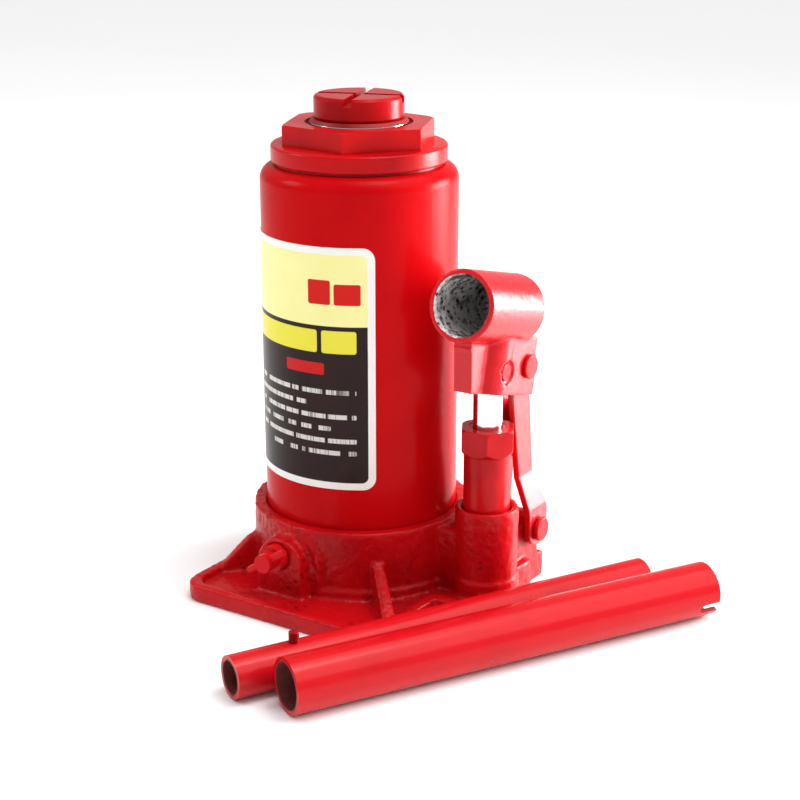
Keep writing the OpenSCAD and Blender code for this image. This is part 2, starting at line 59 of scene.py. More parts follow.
# ---- Floor, light and camera ----
# A studio table top in white laminate, lit by soft boxes, none of which belongs to the jack.
# The camera looks down a little on the corner between the label and the pump.

def pick_up(piece):
    bpy.ops.object.select_all(action="DESELECT")
    piece.select_set(True)
    bpy.context.view_layer.objects.active = piece


def put(tree, kind, inputs=(), **settings):
    made = tree.nodes.new(kind)
    for key, value in settings.items():
        setattr(made, key, value)
    for key, value in dict(inputs).items():
        if isinstance(value, bpy.types.NodeSocket):
            tree.links.new(value, made.inputs[key])
        else:
            made.inputs[key].default_value = value
    return made


def new_finish(name, **sockets):
    finish = bpy.data.materials.new(name)
    finish.use_nodes = True
    shader = finish.node_tree.nodes["Principled BSDF"]
    for key, value in sockets.items():
        shader.inputs[key.replace("_", " ")].default_value = value
    return finish, finish.node_tree, shader


def coat_with(piece, finish):
    piece.data.materials.clear()
    piece.data.materials.append(finish)


table_finish, tree, shader = new_finish("white_laminate", Roughness=0.42)
place = put(tree, "ShaderNodeTexCoord").outputs["Object"]
mottle = put(tree, "ShaderNodeTexNoise", {"Vector": place, "Scale": 3.0, "Detail": 3.0})
tone = put(tree, "ShaderNodeMapRange", {"Value": mottle.outputs[0], "To Min": 0.95, "To Max": 0.98})
tree.links.new(put(tree, "ShaderNodeCombineColor", {
    0: tone.outputs[0], 1: tone.outputs[0], 2: tone.outputs[0]}).outputs[0], shader.inputs["Base Color"])
bpy.ops.object.select_all(action="DESELECT")
bpy.ops.mesh.primitive_plane_add(size=12, location=(0, 0, -0.0002))
table_top = bpy.context.object
table_top.name = "table_top"
bpy.ops.object.transform_apply(location=True)
coat_with(table_top, table_finish)

for name, spot, aim, size, power in (
        ("soft_box_behind", (0.66, 0.74, 0.20), (0.04, 0.0, 0.10), 0.46, 24.0),
        ("soft_box_over", (0.35, 0.05, 1.30), (0.0, 0.0, 0.10), 0.5, 5.0),
        ("soft_box_left", (-0.85, -0.55, 0.75), (0.0, 0.0, 0.12), 0.4, 4.0)):
    bpy.ops.object.light_add(type="AREA", location=spot)
    lamp = bpy.context.object
    lamp.name = name
    lamp.data.shape = "SQUARE"
    lamp.data.size = size
    lamp.data.energy = power
    lamp.visible_camera = False
    lamp.rotation_euler = (Vector(aim) - Vector(spot)).to_track_quat("-Z", "Y").to_euler()
bpy.ops.object.light_add(type="SUN", location=(0.6, 0.5, 1.2))
bounce = bpy.context.object
bounce.name = "ceiling_bounce"
bounce.data.energy = 1.9
bounce.data.angle = math.radians(70)
bounce.rotation_euler = (Vector((0, 0, 0)) - Vector((0.6, 0.25, 1.2))).to_track_quat("-Z", "Y").to_euler()
sky = bpy.data.worlds.new("white_room")
sky.use_nodes = True
sky.node_tree.nodes["Background"].inputs["Color"].default_value = (1, 1, 1, 1)
sky.node_tree.nodes["Background"].inputs["Strength"].default_value = 0.5
bpy.context.scene.world = sky
bpy.context.scene.view_settings.view_transform = "Standard"

bpy.ops.object.camera_add(location=(0.39946, -0.57601, 0.30235),
                          rotation=(math.radians(72.063), 0, math.radians(33.411)))
bpy.context.object.data.lens = 79.31
bpy.context.object.data.sensor_width = 36
bpy.context.scene.camera = bpy.context.object

# ---- Foot casting ----
# One piece of sand-cast iron: plate, collar, gussets, valve bosses and pump boss, fettled roughly
# and sprayed with gloss enamel, which softens the edges but leaves the grain of the sand.

def merged_copy(node, name):
    piece = frame["nodes"][node].copy()
    piece.data = piece.data.copy()
    piece.name = piece.data.name = name
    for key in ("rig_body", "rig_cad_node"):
        if key in piece:
            del piece[key]
    piece.parent = None
    bpy.context.scene.collection.objects.link(piece)
    pick_up(piece)
    bpy.ops.object.mode_set(mode="EDIT")
    bpy.ops.mesh.customdata_custom_splitnormals_clear()
    bpy.ops.mesh.select_all(action="SELECT")
    bpy.ops.mesh.remove_doubles(threshold=0.000003)
    bpy.ops.object.mode_set(mode="OBJECT")
    return piece


def work(piece, kind, **settings):
    pick_up(piece)
    step = piece.modifiers.new(kind.lower(), kind)
    for key, value in settings.items():
        setattr(step, key, value)
    bpy.ops.object.modifier_apply(modifier=step.name)


def cast_skin(piece, voxel, rounds):
    work(piece, "REMESH", mode="VOXEL", voxel_size=voxel, use_smooth_shade=True)
    work(piece, "SMOOTH", factor=0.5, iterations=rounds)


def roughen(piece, name, grain, depth, share):
    group = piece.vertex_groups.new(name=name)
    for v in piece.data.vertices:
        group.add([v.index], min(1.0, max(0.0, share(v.co * 1000))), "REPLACE")
    sand = bpy.data.textures.new(name, "CLOUDS")
    sand.noise_scale = grain
    sand.noise_depth = 2
    work(piece, "DISPLACE", texture=sand, texture_coords="LOCAL", strength=depth,
         mid_level=0.5, vertex_group=name)


def near(value, low, high, soft):
    return min(1.0, max(0.0, min(value - low, high - value) / soft))


def foot_share(co):
    across = math.hypot(co.x, co.y)
    from_pump = math.hypot(co.x - 61.5, co.y)
    if co.z < 1.2 or (across < 41.3 and co.z > 15) or across < 30:
        return 0.0
    if from_pump < 12.2 and co.z > 39.5:
        return 0.05
    if abs(co.x + 6.5) < 6.6 and abs(co.z - 21.5) < 6.6 and co.y < -48:
        return 0.1
    share = 0.42
    if across < 46.5 and co.z > 26:
        share = 0.5 + 0.5 * near(co.x, -60, -8, 20)
    if co.y < -38 and -20 < co.x < 14 and co.z > 15:
        share = 0.9
    if co.x > 50 and co.y > 4 and co.z > 4:
        share = 0.35 if abs(abs(co.x - 61.5) - 6.6) < 0.7 and co.y > 18 else 1.0
    if co.z > 6 and across > 47 and co.z < 9:
        share = 0.55
    return share


def new_group(name, inputs, outputs):
    group = bpy.data.node_groups.new(name, "ShaderNodeTree")
    for label, kind, value in inputs:
        socket = group.interface.new_socket(label, in_out="INPUT", socket_type=kind)
        if value is not None:
            socket.default_value = value
    for label, kind in outputs:
        group.interface.new_socket(label, in_out="OUTPUT", socket_type=kind)
    start = group.nodes.new("NodeGroupInput")
    end = group.nodes.new("NodeGroupOutput")
    return group, start, end


def use_group(tree, group, inputs):
    made = tree.nodes.new("ShaderNodeGroup")
    made.node_tree = group
    for key, value in inputs.items():
        if isinstance(value, bpy.types.NodeSocket):
            tree.links.new(value, made.inputs[key])
        else:
            made.inputs[key].default_value = value
    return made


# Sprayed enamel: flow marks, orange peel, a few dust nibs, and colour that deepens where it pools.
enamel_film, start, end = new_group("enamel_film", (
    ("Place", "NodeSocketVector", None), ("Body", "NodeSocketColor", (0.6, 0.006, 0.01, 1)),
    ("Pooled", "NodeSocketColor", (0.36, 0.002, 0.004, 1)), ("Peel", "NodeSocketFloat", 1.0)),
    (("Colour", "NodeSocketColor"), ("Roughness", "NodeSocketFloat"), ("Height", "NodeSocketFloat")))
g = enamel_film
clouds = put(g, "ShaderNodeTexNoise", {"Vector": start.outputs["Place"], "Scale": 32.0, "Detail": 4.0})
pool = put(g, "ShaderNodeMapRange", {"Value": clouds.outputs[0], "From Min": 0.5, "From Max": 0.78})
nibs = put(g, "ShaderNodeTexVoronoi", {"Vector": start.outputs["Place"], "Scale": 160.0})
nib = put(g, "ShaderNodeMapRange", {"Value": nibs.outputs["Distance"], "From Min": 0.05,
                                    "From Max": 0.0, "To Max": 1.0})
shade = put(g, "ShaderNodeMix", {0: pool.outputs[0], 6: start.outputs["Body"],
                                 7: start.outputs["Pooled"]}, data_type="RGBA")
peel = put(g, "ShaderNodeTexNoise", {"Vector": start.outputs["Place"], "Scale": 520.0, "Detail": 2.0})
sag = put(g, "ShaderNodeTexNoise", {"Vector": start.outputs["Place"], "Scale": 90.0, "Detail": 2.0})
rise = put(g, "ShaderNodeMath", {0: peel.outputs[0], 1: start.outputs["Peel"]}, operation="MULTIPLY")
rise = put(g, "ShaderNodeMath", {0: sag.outputs[0], 1: 1.6, 2: rise.outputs[0]}, operation="MULTIPLY_ADD")
rise = put(g, "ShaderNodeMath", {0: nib.outputs[0], 1: 0.8, 2: rise.outputs[0]}, operation="MULTIPLY_ADD")
gloss = put(g, "ShaderNodeMapRange", {"Value": clouds.outputs[0], "From Min": 0.3, "From Max": 0.75,
                                      "To Min": 0.2, "To Max": 0.3})
g.links.new(shade.outputs[2], end.inputs["Colour"])
g.links.new(gloss.outputs[0], end.inputs["Roughness"])
g.links.new(rise.outputs[0], end.inputs["Height"])

# Sand-cast grain: lumps and pits of a few tenths of a millimetre under the paint, and a mask of the pits that
# darkens them as painted shade.
sand_grain, start, end = new_group("sand_grain", (
    ("Place", "NodeSocketVector", None), ("Grain", "NodeSocketFloat", 420.0)),
    (("Pit_shade", "NodeSocketFloat"), ("Height", "NodeSocketFloat")))
g = sand_grain
lumps = put(g, "ShaderNodeTexNoise", {"Vector": start.outputs["Place"], "Scale": start.outputs["Grain"],
                                      "Detail": 5.0, "Roughness": 0.6})
holes = put(g, "ShaderNodeTexVoronoi", {"Vector": start.outputs["Place"], "Scale": 330.0})
pits = put(g, "ShaderNodeMapRange", {"Value": holes.outputs["Distance"], "From Min": 0.42,
                                     "From Max": 0.02})
patch = put(g, "ShaderNodeTexNoise", {"Vector": start.outputs["Place"], "Scale": 70.0, "Detail": 2.0})
here = put(g, "ShaderNodeMapRange", {"Value": patch.outputs[0], "From Min": 0.48, "From Max": 0.66})
pits = put(g, "ShaderNodeMath", {0: pits.outputs[0], 1: here.outputs[0]}, operation="MULTIPLY")
rise = put(g, "ShaderNodeMath", {0: pits.outputs[0], 1: -0.6, 2: lumps.outputs[0]},
           operation="MULTIPLY_ADD")
g.links.new(pits.outputs[0], end.inputs["Pit_shade"])
g.links.new(rise.outputs[0], end.inputs["Height"])

cast_enamel, tree, shader = new_finish("cast_enamel", Specular_IOR_Level=0.14, Coat_Weight=0.04,
                                       Coat_Roughness=0.1)
place = put(tree, "ShaderNodeTexCoord").outputs["Object"]
film = use_group(tree, enamel_film, {"Place": place, "Body": (0.50, 0.003, 0.006, 1),
                                     "Pooled": (0.30, 0.001, 0.003, 1), "Peel": 0.8})
grain = use_group(tree, sand_grain, {"Place": place, "Grain": 380.0})
# the pits are darkened towards near black: painted shade in the hollows of the grain
deep = put(tree, "ShaderNodeMix", {0: grain.outputs["Pit_shade"], 6: film.outputs["Colour"],
                                   7: (0.13, 0.002, 0.003, 1)}, data_type="RGBA")
tree.links.new(deep.outputs[2], shader.inputs["Base Color"])
tree.links.new(film.outputs["Roughness"], shader.inputs["Roughness"])
low = put(tree, "ShaderNodeBump", {"Strength": 0.7, "Distance": 0.0005,
                                   "Height": grain.outputs["Height"]})
top = put(tree, "ShaderNodeBump", {"Strength": 0.4, "Distance": 0.0001, "Height": film.outputs["Height"],
                                   "Normal": low.outputs[0]})
tree.links.new(top.outputs[0], shader.inputs["Normal"])

foot = merged_copy("base_casting", "foot_casting")
cast_skin(foot, 0.00085, 5)
roughen(foot, "fettled_lumps", 0.011, 0.0010, foot_share)
roughen(foot, "sand_skin", 0.0028, 0.0010, foot_share)
coat_with(foot, cast_enamel)
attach(foot, "jack_body")
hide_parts("base_casting")

# ---- Oil tank ----
# A drawn steel tube with a rolled shoulder, turned square at the ends and sprayed with the same
# enamel. The nut pulls it down onto a rubber seal in the collar.

def turned(name, profile, sides=96, soft=0.0003, middle=(0, 0, 0), lie=(0, 0, 0)):
    """A lathe job: (radius, height) pairs in mm round +Z, a ring where the first pair comes back."""
    ring = tuple(profile[0]) == tuple(profile[-1])
    (r, z) = profile[0]
    bpy.ops.object.select_all(action="DESELECT")
    bpy.ops.mesh.primitive_circle_add(vertices=sides, radius=r / 1000, location=(0, 0, z / 1000),
                                      fill_type="NOTHING" if ring else "NGON")
    piece = bpy.context.object
    piece.name = piece.data.name = name
    bpy.ops.object.mode_set(mode="EDIT")
    for r2, z2 in profile[1:]:
        bpy.ops.mesh.extrude_region_move(TRANSFORM_OT_translate={"value": (0, 0, (z2 - z) / 1000)})
        if abs(r2 - r) > 1e-9:
            bpy.ops.transform.resize(value=(r2 / r, r2 / r, 1), center_override=(0, 0, z2 / 1000))
        r, z = r2, z2
    bpy.ops.mesh.select_all(action="SELECT")
    bpy.ops.mesh.remove_doubles(threshold=0.000002)
    bpy.ops.mesh.normals_make_consistent(inside=False)
    bpy.ops.object.mode_set(mode="OBJECT")
    bpy.ops.object.transform_apply(location=True)
    if soft:
        round_edges(piece, soft)
    lay(piece, lie, middle)
    return piece


def round_edges(piece, width, angle=32, steps=3):
    work(piece, "BEVEL", width=width, segments=steps, limit_method="ANGLE",
         angle_limit=math.radians(angle))
    pick_up(piece)
    bpy.ops.object.shade_smooth_by_angle(angle=math.radians(42))
    work(piece, "WEIGHTED_NORMAL", keep_sharp=True)


def lay(piece, lie, middle):
    pick_up(piece)
    piece.rotation_euler = [math.radians(a) for a in lie]
    piece.location = [c / 1000 for c in middle]
    bpy.ops.object.transform_apply(location=True, rotation=True)


def cut_away(piece, *cutters):
    for cutter in cutters:
        work(piece, "BOOLEAN", operation="DIFFERENCE", object=cutter, solver="EXACT")
        bpy.data.objects.remove(cutter)


def red_finish(name, body, pooled, peel=1.0, bump=0.32, gloss=0.10):
    finish, tree, shader = new_finish(name, Specular_IOR_Level=gloss, Coat_Weight=0.02,
                                      Coat_Roughness=0.05)
    place = put(tree, "ShaderNodeTexCoord").outputs["Object"]
    film = use_group(tree, enamel_film, {"Place": place, "Body": body, "Pooled": pooled, "Peel": peel})
    tree.links.new(film.outputs["Colour"], shader.inputs["Base Color"])
    tree.links.new(film.outputs["Roughness"], shader.inputs["Roughness"])
    skin = put(tree, "ShaderNodeBump", {"Strength": bump, "Distance": 0.00006,
                                        "Height": film.outputs["Height"]})
    tree.links.new(skin.outputs[0], shader.inputs["Normal"])
    return finish


tank_enamel = red_finish("tank_enamel", (0.52, 0.002, 0.004, 1), (0.44, 0.001, 0.003, 1), 0.5, 0.22, 0.04)
outer = [(40, 28.7), (40, 169.9)]
outer += [(34 + 6 * math.cos(math.radians(a)), 169.9 + 6 * math.sin(math.radians(a)))
          for a in range(10, 90, 10)]
outer += [(34, 175.9), (31.4, 175.9), (31.4, 173.9), (33, 173.9)]
outer += [(33 + 5 * math.cos(math.radians(a)), 168.9 + 5 * math.sin(math.radians(a)))
          for a in range(70, -1, -10)]
outer += [(38, 28.7), (40, 28.7)]
tank = turned("oil_tank", outer, 160, 0)
filler_hole = turned("filler_hole", [(5, 20), (5, 45)], 48, 0, (0, 0, 142.9), (0, 90, 118))
cut_away(tank, filler_hole)
round_edges(tank, 0.0003)
coat_with(tank, tank_enamel)
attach(tank, "jack_body")
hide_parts("reservoir_tube")

# ---- Tank nut ----
# Forged steel turned to a round flange with a hexagon on top. It screws onto the lifting cylinder and
# closes the tank, and the enamel runs into the corner at the foot of the hexagon.
nut_enamel = red_finish("nut_enamel", (0.52, 0.003, 0.005, 1), (0.30, 0.001, 0.003, 1), 0.9, 0.4, 0.12)
flange = turned("tank_nut_flange", [(20.06, 176.9 - 5.0), (27.5, 171.9), (27.5, 176.9), (35.5, 176.9),
                                    (35.5, 183.6), (33.2, 184.0), (21.7, 184.0), (20.06, 183.0),
                                    (20.06, 171.9)], 144, 0.0009)
bpy.ops.object.select_all(action="DESELECT")
bpy.ops.mesh.primitive_cylinder_add(vertices=6, radius=0.0554 / math.sqrt(3), depth=0.0096,
                                    location=(0, 0, 0.1874))
hexagon = bpy.context.object
hexagon.name = "tank_nut"
hexagon.rotation_euler.z = math.radians(-7 + 30)
bpy.ops.object.transform_apply(location=True, rotation=True)
# the corners of the hexagon are turned off at the top, at thirty degrees
chamfer = turned("nut_chamfer", [(33, 182), (33, 191.3), (30.6, 192.2), (21, 192.4)], 96, 0)
work(hexagon, "BOOLEAN", operation="INTERSECT", object=chamfer, solver="EXACT")
bpy.data.objects.remove(chamfer)
cut_away(hexagon, turned("gland_bore", [(21.7, 180), (21.7, 195)], 96, 0))
round_edges(hexagon, 0.0005)
pick_up(hexagon)
flange.select_set(True)
bpy.ops.object.join()
tank_nut = hexagon
coat_with(tank_nut, nut_enamel)
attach(tank_nut, "jack_body")
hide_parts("tank_nut")

# ---- Rubber seals ----
# Moulded nitrile rings: the flat ones under the tank and nut, the gland seal, and the lipped wipers
# that keep dirt off the ram and plunger. All are greased and pressed in by hand.
rubber_skin, start, end = new_group("rubber_skin", (
    ("Place", "NodeSocketVector", None), ("Body", "NodeSocketColor", (0.02, 0.02, 0.02, 1))),
    (("Colour", "NodeSocketColor"), ("Roughness", "NodeSocketFloat"), ("Height", "NodeSocketFloat")))
g = rubber_skin
bloom = put(g, "ShaderNodeTexNoise", {"Vector": start.outputs["Place"], "Scale": 120.0, "Detail": 4.0})
dusty = put(g, "ShaderNodeMapRange", {"Value": bloom.outputs[0], "From Min": 0.52, "From Max": 0.8,
                                      "To Max": 0.35})
shade = put(g, "ShaderNodeMix", {0: dusty.outputs[0], 6: start.outputs["Body"],
                                 7: (0.16, 0.15, 0.14, 1)}, data_type="RGBA")
dull = put(g, "ShaderNodeMapRange", {"Value": bloom.outputs[0], "To Min": 0.38, "To Max": 0.66})
fine = put(g, "ShaderNodeTexNoise", {"Vector": start.outputs["Place"], "Scale": 1500.0, "Detail": 2.0})
g.links.new(shade.outputs[2], end.inputs["Colour"])
g.links.new(dull.outputs[0], end.inputs["Roughness"])
g.links.new(fine.outputs[0], end.inputs["Height"])


def skinned_finish(name, group, inputs, bump, **sockets):
    finish, tree, shader = new_finish(name, **sockets)
    place = put(tree, "ShaderNodeTexCoord").outputs["Object"]
    skin = use_group(tree, group, dict(inputs, Place=place))
    tree.links.new(skin.outputs["Colour"], shader.inputs["Base Color"])
    tree.links.new(skin.outputs["Roughness"], shader.inputs["Roughness"])
    relief = put(tree, "ShaderNodeBump", {"Strength": 0.3, "Distance": bump,
                                          "Height": skin.outputs["Height"]})
    tree.links.new(relief.outputs[0], shader.inputs["Normal"])
    return finish


nitrile = skinned_finish("nitrile_rubber", rubber_skin, {"Body": (0.016, 0.016, 0.017, 1)}, 0.00005)
coat_with(frame["nodes"]["tank_lower_seal"], nitrile)
# the edge of the upper one shows below the flange, and was sprayed over with it
seal_spray = red_finish("seal_spray", (0.40, 0.003, 0.006, 1), (0.12, 0.002, 0.003, 1), 1.2, 0.5)
coat_with(frame["nodes"]["tank_upper_seal"], seal_spray)

gland = turned("gland_seal", [(20.04, 177.95), (23.45, 177.95), (23.45, 182.6), (22.4, 182.85),
                              (21.75, 180.6), (21.1, 182.85), (20.04, 182.4), (20.04, 177.95)], 96, 0.0002)
ram_wiper = turned("ram_wiper", [(20.3, 189.25), (21.65, 189.25), (21.65, 190.9), (20.6, 190.9),
                                 (20.04, 191.0), (20.04, 190.3), (20.3, 189.25)], 96, 0.0001)
plunger_wiper = turned("plunger_wiper", [(6.3, 72.55), (7.55, 72.55), (7.55, 74.4), (6.7, 74.4),
                                         (6.04, 74.9), (6.04, 74.2), (6.3, 72.55)], 64, 0.0001, (61.5, 0, 0))
plunger_seal = turned("plunger_seal", [(6.04, 66.55), (7.95, 66.55), (7.95, 70.05), (7.2, 70.05),
                                       (6.95, 68.4), (6.7, 70.05), (6.04, 69.8), (6.04, 66.55)],
                      64, 0.0001, (61.5, 0, 0))
for seal, node in ((gland, "gland_seal"), (ram_wiper, "wiper_ring"),
                   (plunger_wiper, "plunger_wiper"), (plunger_seal, "pump_seal")):
    coat_with(seal, nitrile)
    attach(seal, "jack_body")
    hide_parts(node)

# ---- Oil filler plug ----
# A push-in rubber bung on the back of the tank: a round flange with a gripping rim, a stem that
# plugs the hole, and a raised ring where a screwdriver levers it out.
bung = turned("filler_bung", [(4.9, 35.0), (4.9, 40.5), (7.5, 40.42), (7.5, 42.1), (6.9, 43.0), (5.2, 43.0),
                              (4.8, 42.2), (2.6, 42.2), (2.2, 43.0), (0.6, 43.1)], 64, 0.00025,
              (0, 0, 142.9), (0, 90, 118))
coat_with(bung, nitrile)
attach(bung, "jack_body")
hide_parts("oil_filler_plug")

# ---- Label ----
# A printed vinyl sheet with a clear overlay, wrapped round the left and front of the tank: a white
# border, a pale yellow field over a black one, and plain bars and dashes where a label has its words.
printed_block, start, end = new_group("printed_block", (
    ("Across", "NodeSocketFloat", 0.0), ("Up", "NodeSocketFloat", 0.0),
    ("Left", "NodeSocketFloat", 0.0), ("Right", "NodeSocketFloat", 1.0),
    ("Bottom", "NodeSocketFloat", 0.0), ("Top", "NodeSocketFloat", 1.0),
    ("Corner", "NodeSocketFloat", 0.5)), (("Mask", "NodeSocketFloat"),))
g = printed_block


def sums(tree, *steps):
    """A chain of Math nodes: (operation, second value) pairs applied to the first entry."""
    value = steps[0]
    for operation, other in steps[1:]:
        value = put(tree, "ShaderNodeMath", {0: value, 1: other}, operation=operation).outputs[0]
    return value


def half_gap(low, high, at):
    middle = sums(g, start.outputs[low], ("ADD", start.outputs[high]), ("MULTIPLY", 0.5))
    half = sums(g, start.outputs[high], ("SUBTRACT", start.outputs[low]), ("MULTIPLY", 0.5))
    away = sums(g, at, ("SUBTRACT", middle), ("ABSOLUTE", 0.0), ("SUBTRACT", half),
                ("ADD", start.outputs["Corner"]))
    return sums(g, away, ("MAXIMUM", 0.0))


wide = sums(g, half_gap("Left", "Right", start.outputs["Across"]), ("POWER", 2.0))
high = sums(g, half_gap("Bottom", "Top", start.outputs["Up"]), ("POWER", 2.0))
reach = sums(g, wide, ("ADD", high), ("SQRT", 0.0), ("SUBTRACT", start.outputs["Corner"]))
ink = put(g, "ShaderNodeMapRange", {"Value": reach, "From Min": 0.09, "From Max": -0.09})
g.links.new(ink.outputs[0], end.inputs["Mask"])

label_print, tree, shader = new_finish("label_print", Specular_IOR_Level=0.1, Roughness=0.3, Coat_Weight=0.08,
                                       Coat_Roughness=0.12)
sheet_place = put(tree, "ShaderNodeUVMap", uv_map="sheet")
parts = put(tree, "ShaderNodeSeparateXYZ", {0: sheet_place.outputs[0]})
across = sums(tree, parts.outputs[0], ("MULTIPLY", 110.0))
up = sums(tree, parts.outputs[1], ("MULTIPLY", 110.0))
paper_tone = put(tree, "ShaderNodeTexNoise", {"Vector": sheet_place.outputs[0], "Scale": 9.0, "Detail": 3.0})
white_ink = put(tree, "ShaderNodeMix", {0: paper_tone.outputs[0], 6: (0.84, 0.84, 0.80, 1),
                                        7: (0.92, 0.92, 0.90, 1)}, data_type="RGBA").outputs[2]
yellow_ink = put(tree, "ShaderNodeMix", {0: paper_tone.outputs[0], 6: (0.86, 0.82, 0.30, 1),
                                         7: (0.95, 0.92, 0.44, 1)}, data_type="RGBA").outputs[2]
black_ink = put(tree, "ShaderNodeMix", {0: paper_tone.outputs[0], 6: (0.012, 0.006, 0.006, 1),
                                        7: (0.030, 0.012, 0.010, 1)}, data_type="RGBA").outputs[2]


def print_over(under, ink, left, right, bottom, top, corner=0.6, broken=None):
    block = use_group(tree, printed_block, {"Across": across, "Up": up, "Left": left, "Right": right,
                                            "Bottom": bottom, "Top": top, "Corner": corner})
    mask = block.outputs[0]
    if broken is not None:
        mask = sums(tree, mask, ("MULTIPLY", broken))
    return put(tree, "ShaderNodeMix", {0: mask, 6: under, 7: ink}, data_type="RGBA").outputs[2]


# words are dashes of uneven length: a noise along the line, stepped to a new value for each line
line_step = sums(tree, up, ("SUBTRACT", 3.0), ("DIVIDE", 5.05), ("FLOOR", 0.0), ("MULTIPLY", 7.31))
line_place = put(tree, "ShaderNodeCombineXYZ", {0: sums(tree, across, ("MULTIPLY", 0.27)), 1: line_step})
words = put(tree, "ShaderNodeTexNoise", {"Vector": line_place.outputs[0], "Scale": 1.0, "Detail": 0.0})
dashes = put(tree, "ShaderNodeMapRange", {"Value": words.outputs[0], "From Min": 0.40,
                                          "From Max": 0.43}).outputs[0]
letters = put(tree, "ShaderNodeTexNoise", {"Vector": put(tree, "ShaderNodeCombineXYZ", {
    0: sums(tree, across, ("MULTIPLY", 1.7)), 1: line_step}).outputs[0], "Scale": 1.0, "Detail": 0.0})
dashes = sums(tree, put(tree, "ShaderNodeMapRange", {"Value": letters.outputs[0], "From Min": 0.34,
                                                     "From Max": 0.44, "To Min": 0.35}).outputs[0],
              ("MULTIPLY", dashes))
print_colour = print_over(white_ink, yellow_ink, 3.0, 101.6, 68.4, 96.2, 2.6)
print_colour = print_over(print_colour, yellow_ink, 3.0, 101.6, 67.6, 80.0, 0.3)
print_colour = print_over(print_colour, black_ink, 3.0, 101.6, 2.9, 60.0, 2.6)
print_colour = print_over(print_colour, black_ink, 3.0, 101.6, 30.0, 67.6, 0.3)
print_colour = print_over(print_colour, (0.62, 0.010, 0.006, 1), 5.6, 16.2, 76.2, 84.6, 0.8)
print_colour = print_over(print_colour, (0.62, 0.010, 0.006, 1), 17.6, 27.0, 76.2, 86.0, 0.8)
print_colour = print_over(print_colour, (0.80, 0.74, 0.06, 1), 7.4, 21.5, 56.6, 65.8, 1.0)
print_colour = print_over(print_colour, (0.80, 0.74, 0.06, 1), 23.4, 66.0, 56.6, 65.8, 1.0)
print_colour = print_over(print_colour, (0.56, 0.010, 0.012, 1), 20.5, 38.5, 47.6, 52.4, 0.8)
for row, (near_edge, far_edge) in enumerate(((7.6, 62), (28, 62), (7.6, 60), (18, 60), (7.6, 60), (7.6, 56))):
    line = 40.6 - 5.05 * row
    print_colour = print_over(print_colour, (0.66, 0.65, 0.60, 1), near_edge, far_edge, line - 0.95,
                              line + 0.95, 0.5, dashes)
tree.links.new(print_colour, shader.inputs["Base Color"])
laminate = put(tree, "ShaderNodeTexNoise", {"Vector": sheet_place.outputs[0], "Scale": 14.0, "Detail": 3.0})
tree.links.new(put(tree, "ShaderNodeBump", {"Strength": 0.25, "Distance": 0.00012,
                                            "Height": laminate.outputs[0]}).outputs[0],
               shader.inputs["Normal"])

label_wide = math.radians(150) * 0.04
bpy.ops.object.select_all(action="DESELECT")
bpy.ops.mesh.primitive_plane_add(size=1, location=(label_wide / 2, 0.0495, 0))
label = bpy.context.object
label.name = label.data.name = "label_sheet"
label.scale = (label_wide, 0.099, 1)
bpy.ops.object.transform_apply(location=True, scale=True)
bpy.ops.object.mode_set(mode="EDIT")
bpy.ops.mesh.select_all(action="SELECT")
bpy.ops.mesh.bevel(offset=0.005, segments=8, affect="VERTICES")
for k in range(1, 110):
    bpy.ops.mesh.select_all(action="SELECT")
    bpy.ops.mesh.bisect(plane_co=(label_wide * k / 110, 0, 0), plane_no=(1, 0, 0))
bpy.ops.object.mode_set(mode="OBJECT")
sheet_map = label.data.uv_layers.new(name="sheet")
for loop in label.data.loops:
    flat = label.data.vertices[loop.vertex_index].co
    sheet_map.data[loop.index].uv = (flat.x / 0.110, flat.y / 0.110)
for v in label.data.vertices:
    turn = math.radians(-47) - v.co.x / 0.04
    v.co = (0.04004 * math.cos(turn), 0.04004 * math.sin(turn), 0.0505 + v.co.y)
pick_up(label)
bpy.ops.object.mode_set(mode="EDIT")
bpy.ops.mesh.select_all(action="SELECT")
bpy.ops.mesh.normals_make_consistent(inside=False)
bpy.ops.object.mode_set(mode="OBJECT")
outward = label.data.polygons[0].normal.dot(label.data.polygons[0].center)
work(label, "SOLIDIFY", thickness=0.00024, offset=1 if outward > 0 else -1)
pick_up(label)
bpy.ops.object.shade_smooth_by_angle(angle=math.radians(35))
coat_with(label, label_print)
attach(label, "jack_body")
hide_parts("label")

# ---- Lifting cylinder, ram and piston ----
# The cylinder is honed steel tube; the ram is ground bar with hard chrome, bored and threaded for
# the screw. A bronze guide ring, a polyurethane cup and a circlip finish its foot.
machined, start, end = new_group("machined_metal", (
    ("Place", "NodeSocketVector", None), ("Body", "NodeSocketColor", (0.5, 0.5, 0.5, 1)),
    ("Shadow", "NodeSocketColor", (0.2, 0.2, 0.2, 1)), ("Lines", "NodeSocketFloat", 1.0),
    ("Polish", "NodeSocketFloat", 0.2)),
    (("Colour", "NodeSocketColor"), ("Roughness", "NodeSocketFloat"), ("Height", "NodeSocketFloat")))
g = machined
drawn = put(g, "ShaderNodeMapping", {"Vector": start.outputs["Place"], "Scale": (40.0, 40.0, 5000.0)})
marks = put(g, "ShaderNodeTexNoise", {"Vector": drawn.outputs[0], "Scale": 1.0, "Detail": 3.0})
stain = put(g, "ShaderNodeTexNoise", {"Vector": start.outputs["Place"], "Scale": 140.0, "Detail": 4.0})
film_mask = put(g, "ShaderNodeMapRange", {"Value": stain.outputs[0], "From Min": 0.5, "From Max": 0.8,
                                          "To Max": 0.6})
shade = put(g, "ShaderNodeMix", {0: film_mask.outputs[0], 6: start.outputs["Body"],
                                 7: start.outputs["Shadow"]}, data_type="RGBA")
blur = put(g, "ShaderNodeMath", {0: marks.outputs[0], 1: 0.12, 2: start.outputs["Polish"]},
           operation="MULTIPLY_ADD")
rise = put(g, "ShaderNodeMath", {0: marks.outputs[0], 1: start.outputs["Lines"]}, operation="MULTIPLY")
g.links.new(shade.outputs[2], end.inputs["Colour"])
